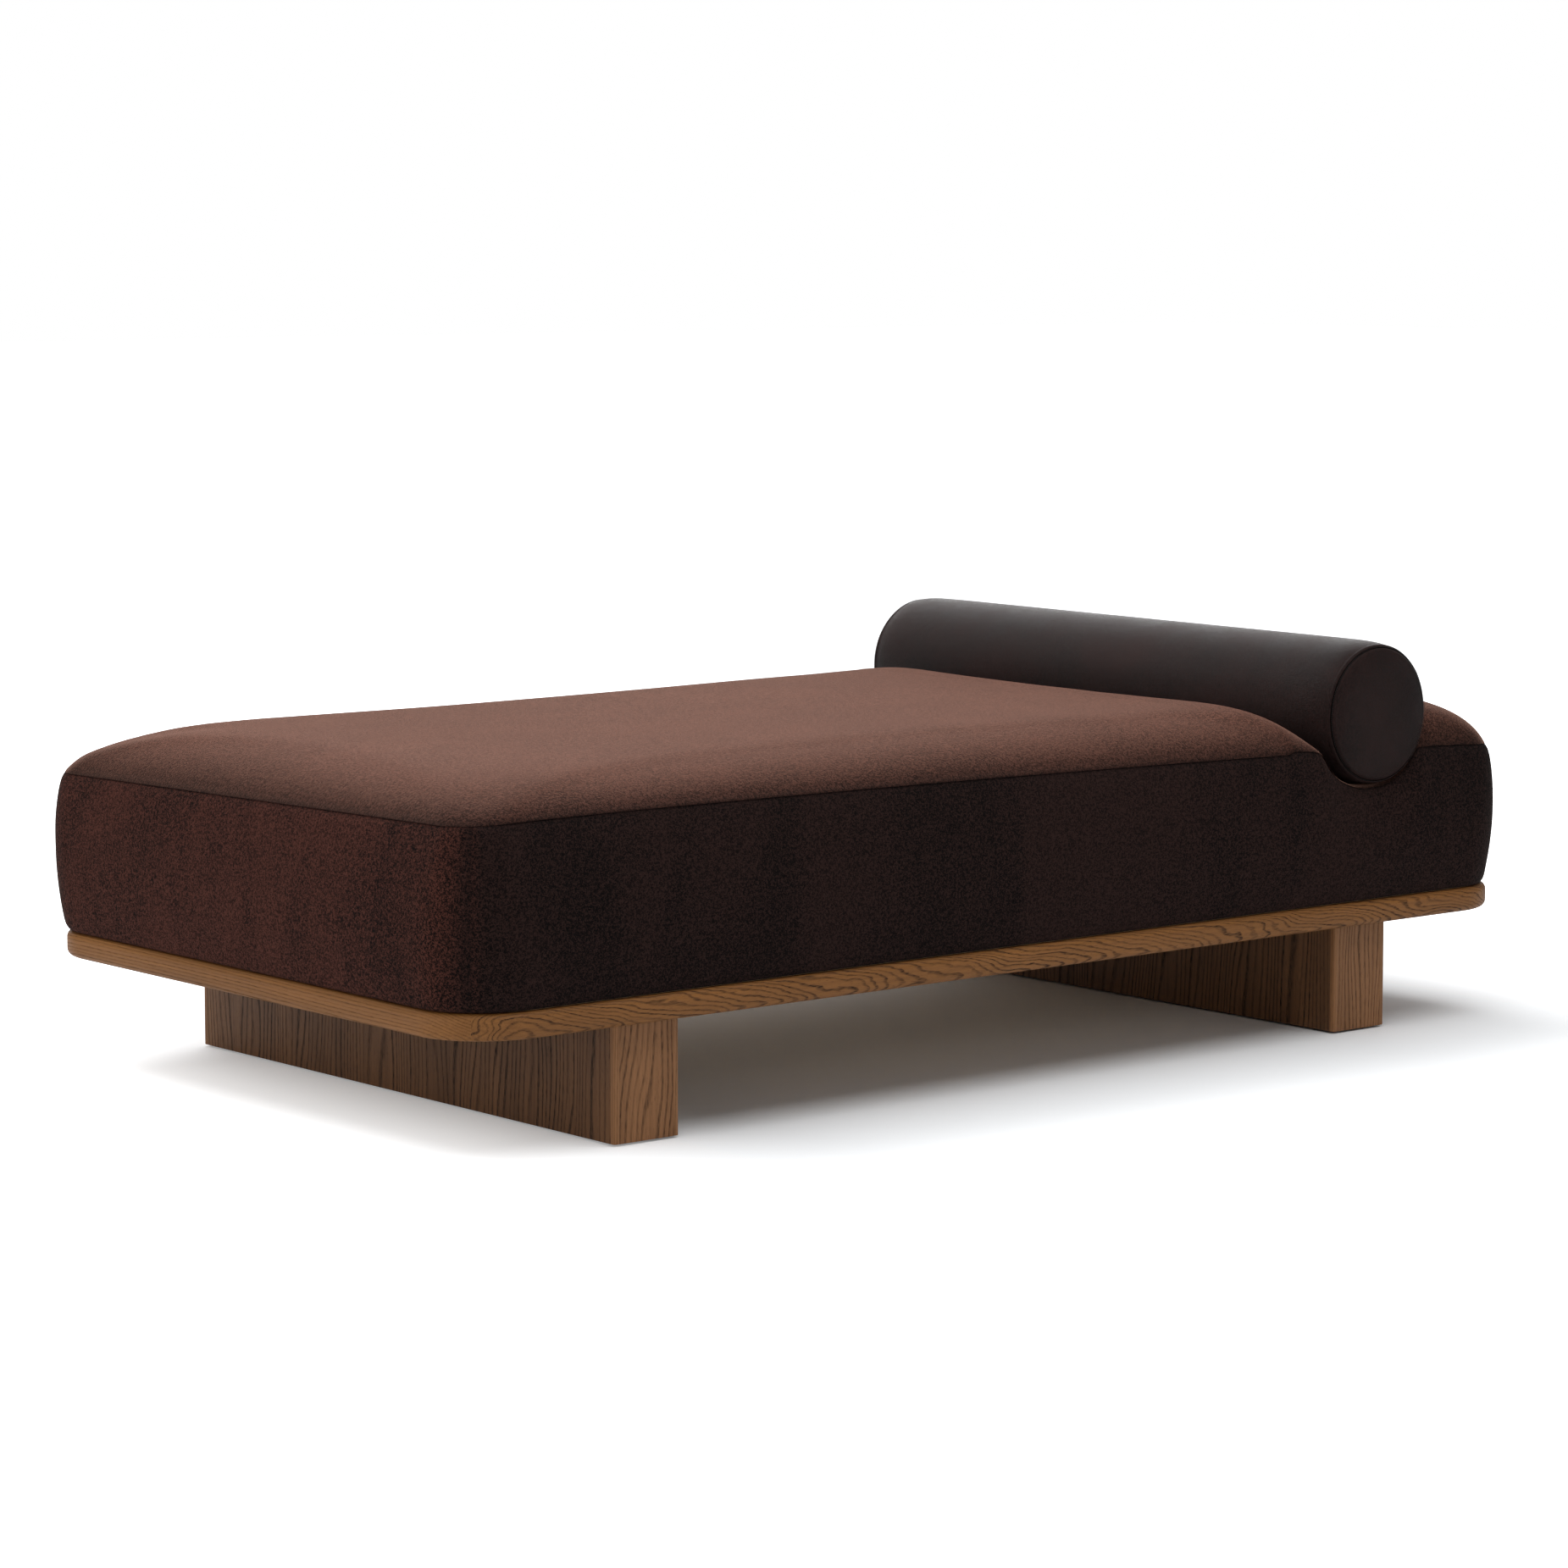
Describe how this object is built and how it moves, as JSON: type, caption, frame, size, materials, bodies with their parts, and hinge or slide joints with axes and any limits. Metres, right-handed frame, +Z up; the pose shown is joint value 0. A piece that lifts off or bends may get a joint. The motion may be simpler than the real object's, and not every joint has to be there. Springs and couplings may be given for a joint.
{
  "type": "daybed",
  "caption": "Low rectangular daybed: a crowned upholstered seat with a loose cylindrical bolster lying in a channel at one end, on a round-cornered wooden platform with broad slab legs.",
  "frame": {"origin": "on the floor, under the middle of the platform", "axes": "+X along the length towards the head end with the bolster, +Y across the width towards the far side, +Z up"},
  "size_m": [1.99, 1.058, 0.5859],
  "materials": {
    "oak": "brown-stained oak veneer and lipping, satin",
    "plywood": "bare plywood",
    "softwood": "planed softwood",
    "zinc_steel": "zinc-plated steel",
    "glide_felt": "pressed felt",
    "foam": "open-cell upholstery foam",
    "velvet": "short-pile mohair velvet, dark brown",
    "leather": "smooth semi-matt dark brown leather"
  },
  "bodies": {
    "base": {"centre_bearer": "softwood", "channel_foam": "foam", "corner_spline_far_foot": "plywood", "corner_spline_far_head": "plywood", "corner_spline_near_foot": "plywood", "corner_spline_near_head": "plywood", "cover_far_boxing": "velvet", "cover_foot_boxing": "velvet", "cover_head_boxing": "velvet", "cover_near_boxing": "velvet", "cover_top_panel": "velvet", "deck_panel": "plywood", "far_rail": "oak", "foot_bearer": "softwood", "foot_leg_base_board": "plywood", "foot_leg_bolt_far": "zinc_steel", "foot_leg_bolt_near": "zinc_steel", "foot_leg_far_board": "oak", "foot_leg_foot_board": "oak", "foot_leg_glide_far": "glide_felt", "foot_leg_glide_far_mid": "glide_felt", "foot_leg_glide_near": "glide_felt", "foot_leg_glide_near_mid": "glide_felt", "foot_leg_head_board": "oak", "foot_leg_mounting_board": "plywood", "foot_leg_near_board": "oak", "foot_rail": "oak", "head_bearer": "softwood", "head_foam": "foam", "head_leg_base_board": "plywood", "head_leg_bolt_far": "zinc_steel", "head_leg_bolt_near": "zinc_steel", "head_leg_far_board": "oak", "head_leg_foot_board": "oak", "head_leg_glide_far": "glide_felt", "head_leg_glide_far_mid": "glide_felt", "head_leg_glide_near": "glide_felt", "head_leg_glide_near_mid": "glide_felt", "head_leg_head_board": "oak", "head_leg_mounting_board": "plywood", "head_leg_near_board": "oak", "head_rail": "oak", "near_rail": "oak", "seat_board": "plywood", "seat_foam": "foam", "seat_frame_far": "softwood", "seat_frame_foot": "softwood", "seat_frame_head": "softwood", "seat_frame_near": "softwood", "seat_screw_far_foot": "zinc_steel", "seat_screw_far_head": "zinc_steel", "seat_screw_near_foot": "zinc_steel", "seat_screw_near_head": "zinc_steel", "seat_strut_foot": "softwood", "seat_strut_head": "softwood"},
    "bolster": {"bolster_barrel": "leather", "bolster_far_end": "leather", "bolster_foam": "foam", "bolster_near_end": "leather"}
  },
  "joints": [
    {"name": "bolster_lift", "type": "slide", "parent": "base", "child": "bolster", "axis": [0, 0, 1], "range_m": [0, 0.15]}
  ]
}
